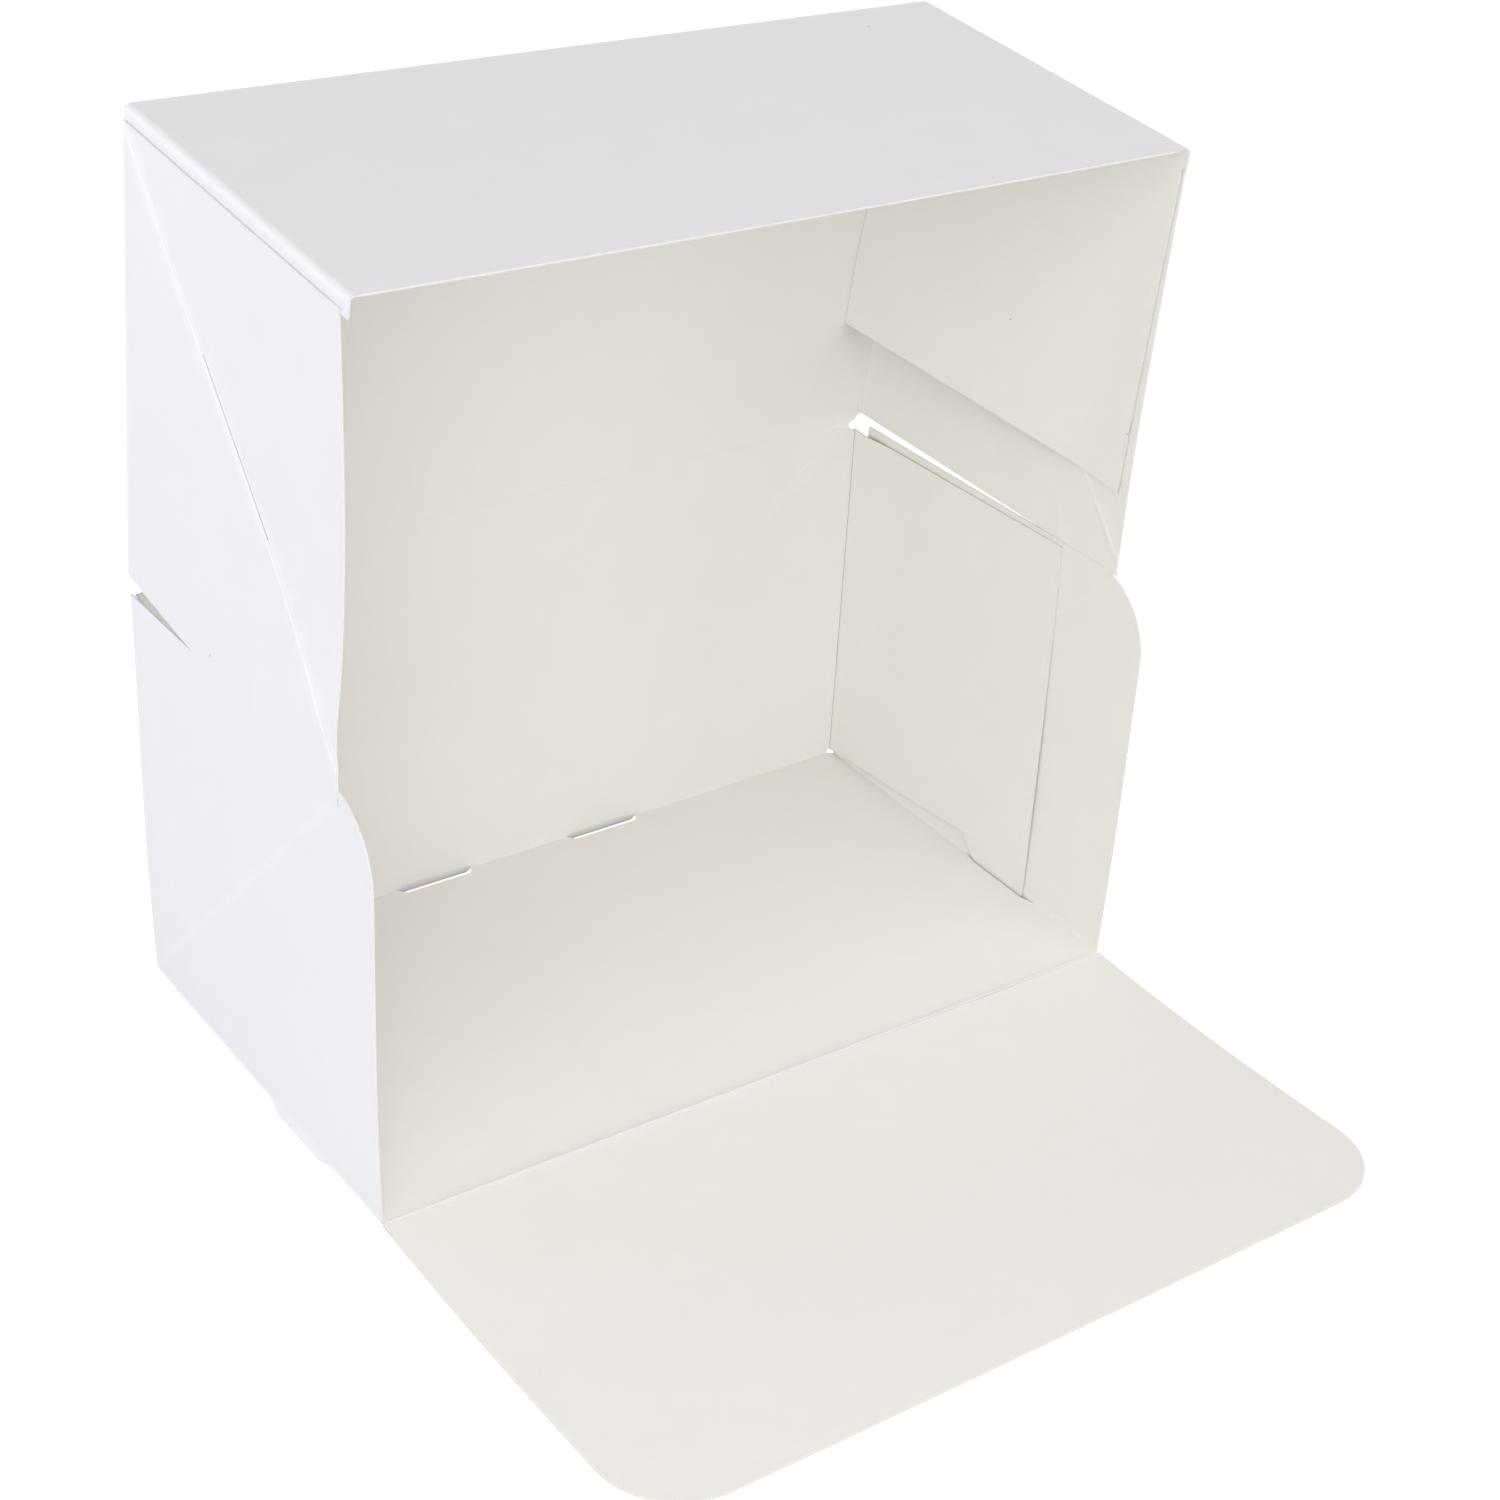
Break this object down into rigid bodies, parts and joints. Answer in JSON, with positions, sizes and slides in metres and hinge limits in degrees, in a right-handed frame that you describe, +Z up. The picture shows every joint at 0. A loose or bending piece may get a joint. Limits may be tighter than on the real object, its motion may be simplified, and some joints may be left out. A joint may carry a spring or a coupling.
{
  "type": "pastry box",
  "caption": "White paperboard pastry box: a creased tray with a drop front wall and a hinged lid, shown standing open.",
  "frame": {"origin": "middle of the base panel's underside", "axes": "+X to the right as seen from the open front, +Y to the back wall, +Z up"},
  "size_m": [0.2024, 0.2103, 0.2133],
  "materials": {
    "outside_board": "white coated face with a faint satin sheen",
    "inside_board": "warm white uncoated face, matt",
    "dried_glue": "pale dried glue"
  },
  "bodies": {
    "tray": {"base_panel": "inside_board", "back_wall": "inside_board", "left_side_wall": "outside_board", "right_side_wall": "outside_board", "left_inner_flap": "inside_board", "right_inner_flap": "inside_board", "front_crease_bead": "inside_board", "lid_crease_bead": "inside_board"},
    "drop_front": {"front_wall": "inside_board"},
    "lid": {"lid_panel": "inside_board", "lid_front_wall": "outside_board", "left_lid_side_rear": "outside_board", "right_lid_side_rear": "outside_board", "left_lid_side_front": "outside_board", "right_lid_side_front": "outside_board", "left_corner_flap": "inside_board", "right_corner_flap": "inside_board", "left_glue_run": "dried_glue", "right_glue_run": "dried_glue"}
  },
  "joints": [
    {"name": "lid_hinge", "type": "hinge", "parent": "tray", "child": "lid", "pos_m": [0, 0.0548, 0.101], "axis": [1, 0, 0], "range_deg": [-96.3, 83.7]},
    {"name": "front_wall_hinge", "type": "hinge", "parent": "tray", "child": "drop_front", "pos_m": [0, -0.055, 0.0002], "axis": [-1, 0, 0], "range_deg": [0, 91.25]}
  ]
}
